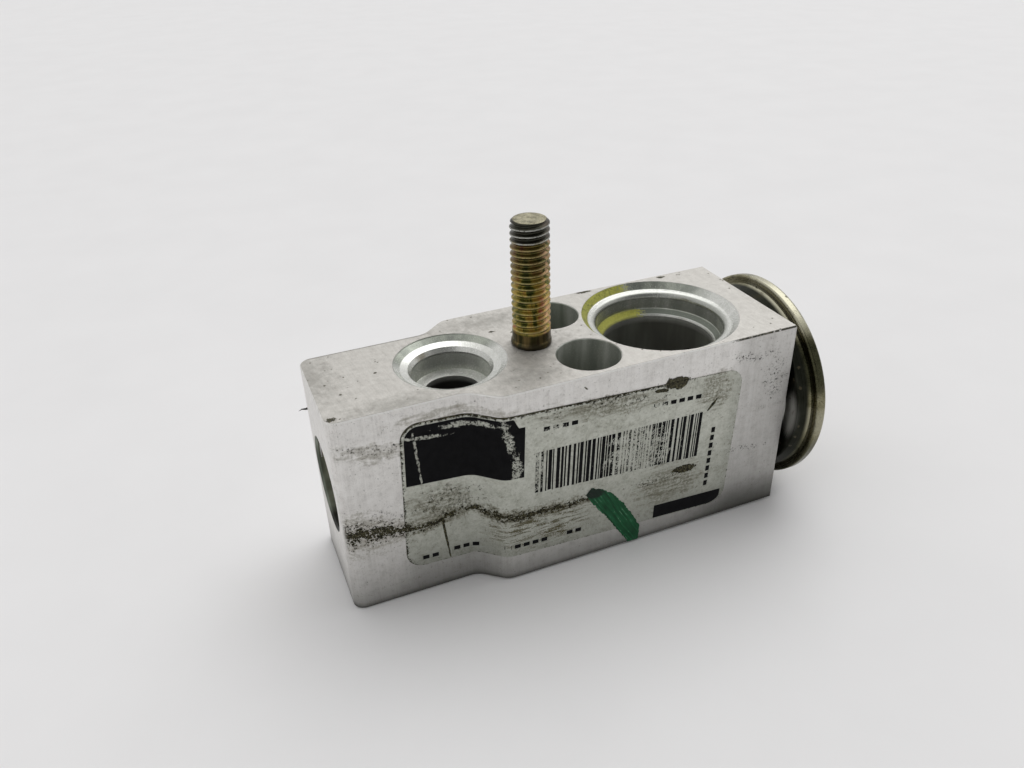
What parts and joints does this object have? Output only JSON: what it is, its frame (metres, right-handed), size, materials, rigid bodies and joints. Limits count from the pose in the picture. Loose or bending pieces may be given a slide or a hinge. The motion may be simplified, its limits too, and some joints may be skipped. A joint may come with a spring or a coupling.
{
  "type": "thermostatic expansion valve",
  "caption": "Block expansion valve for a vehicle air conditioner: stepped aluminium body with O-ring ports, mounting stud, through holes, a power head and a spring-loaded ball valve inside.",
  "frame": {"origin": "on the mounting stud's axis, in the plane of the pipe face", "axes": "+Z along the stud, out of the pipe face; +X along the block towards the power head; +Y across the block, away from the labelled flank"},
  "size_m": [0.0849, 0.0358, 0.054],
  "materials": {
    "aluminium_block": "matte extruded sides, milled port faces",
    "yellow_zinc_stud": "yellow zinc plating",
    "yellow_zinc_head": "pale yellow zinc plating",
    "label": "thin matte film with dark printed blocks",
    "stainless": "bright stainless steel",
    "brass": "turned brass",
    "hnbr": "moulded sealing rubber"
  },
  "bodies": {
    "block": {"valve_body": "aluminium_block", "mounting_stud": "yellow_zinc_stud", "label_film": "label", "head_base": "yellow_zinc_head", "head_cover": "yellow_zinc_head", "head_gasket": "hnbr", "diaphragm": "stainless", "charge_plug": "stainless", "rod_o_ring": "hnbr", "rod_seal_retainer": "stainless", "valve_seat": "stainless"},
    "valve_train": {"diaphragm_stop": "brass", "sensing_rod": "stainless", "push_rod": "stainless", "valve_ball": "stainless", "ball_holder": "brass", "damper_clip": "stainless", "superheat_spring": "stainless"},
    "adjuster_carriage": {"adjuster_o_ring": "hnbr"},
    "adjuster": {"adjusting_screw": "brass"}
  },
  "joints": [
    {"name": "valve_lift", "type": "slide", "parent": "block", "child": "valve_train", "axis": [1, 0, 0], "range_m": [-0.00045, 0.0003], "stiffness_N_per_m": 8000, "deforming": ["superheat_spring", "diaphragm"]},
    {"name": "adjuster_travel", "type": "slide", "parent": "block", "child": "adjuster_carriage", "axis": [1, 0, 0], "range_m": [-0.00101, 0.00101]},
    {"name": "adjuster_turn", "type": "hinge", "parent": "adjuster_carriage", "child": "adjuster", "pos_m": [-0.028, 0, -0.0163], "axis": [1, 0, 0], "range_deg": [-360, 360]}
  ],
  "couplings": [
    {"joint": "adjuster_travel", "follows": "adjuster_turn", "m_per_rad": 0.00015915}
  ]
}
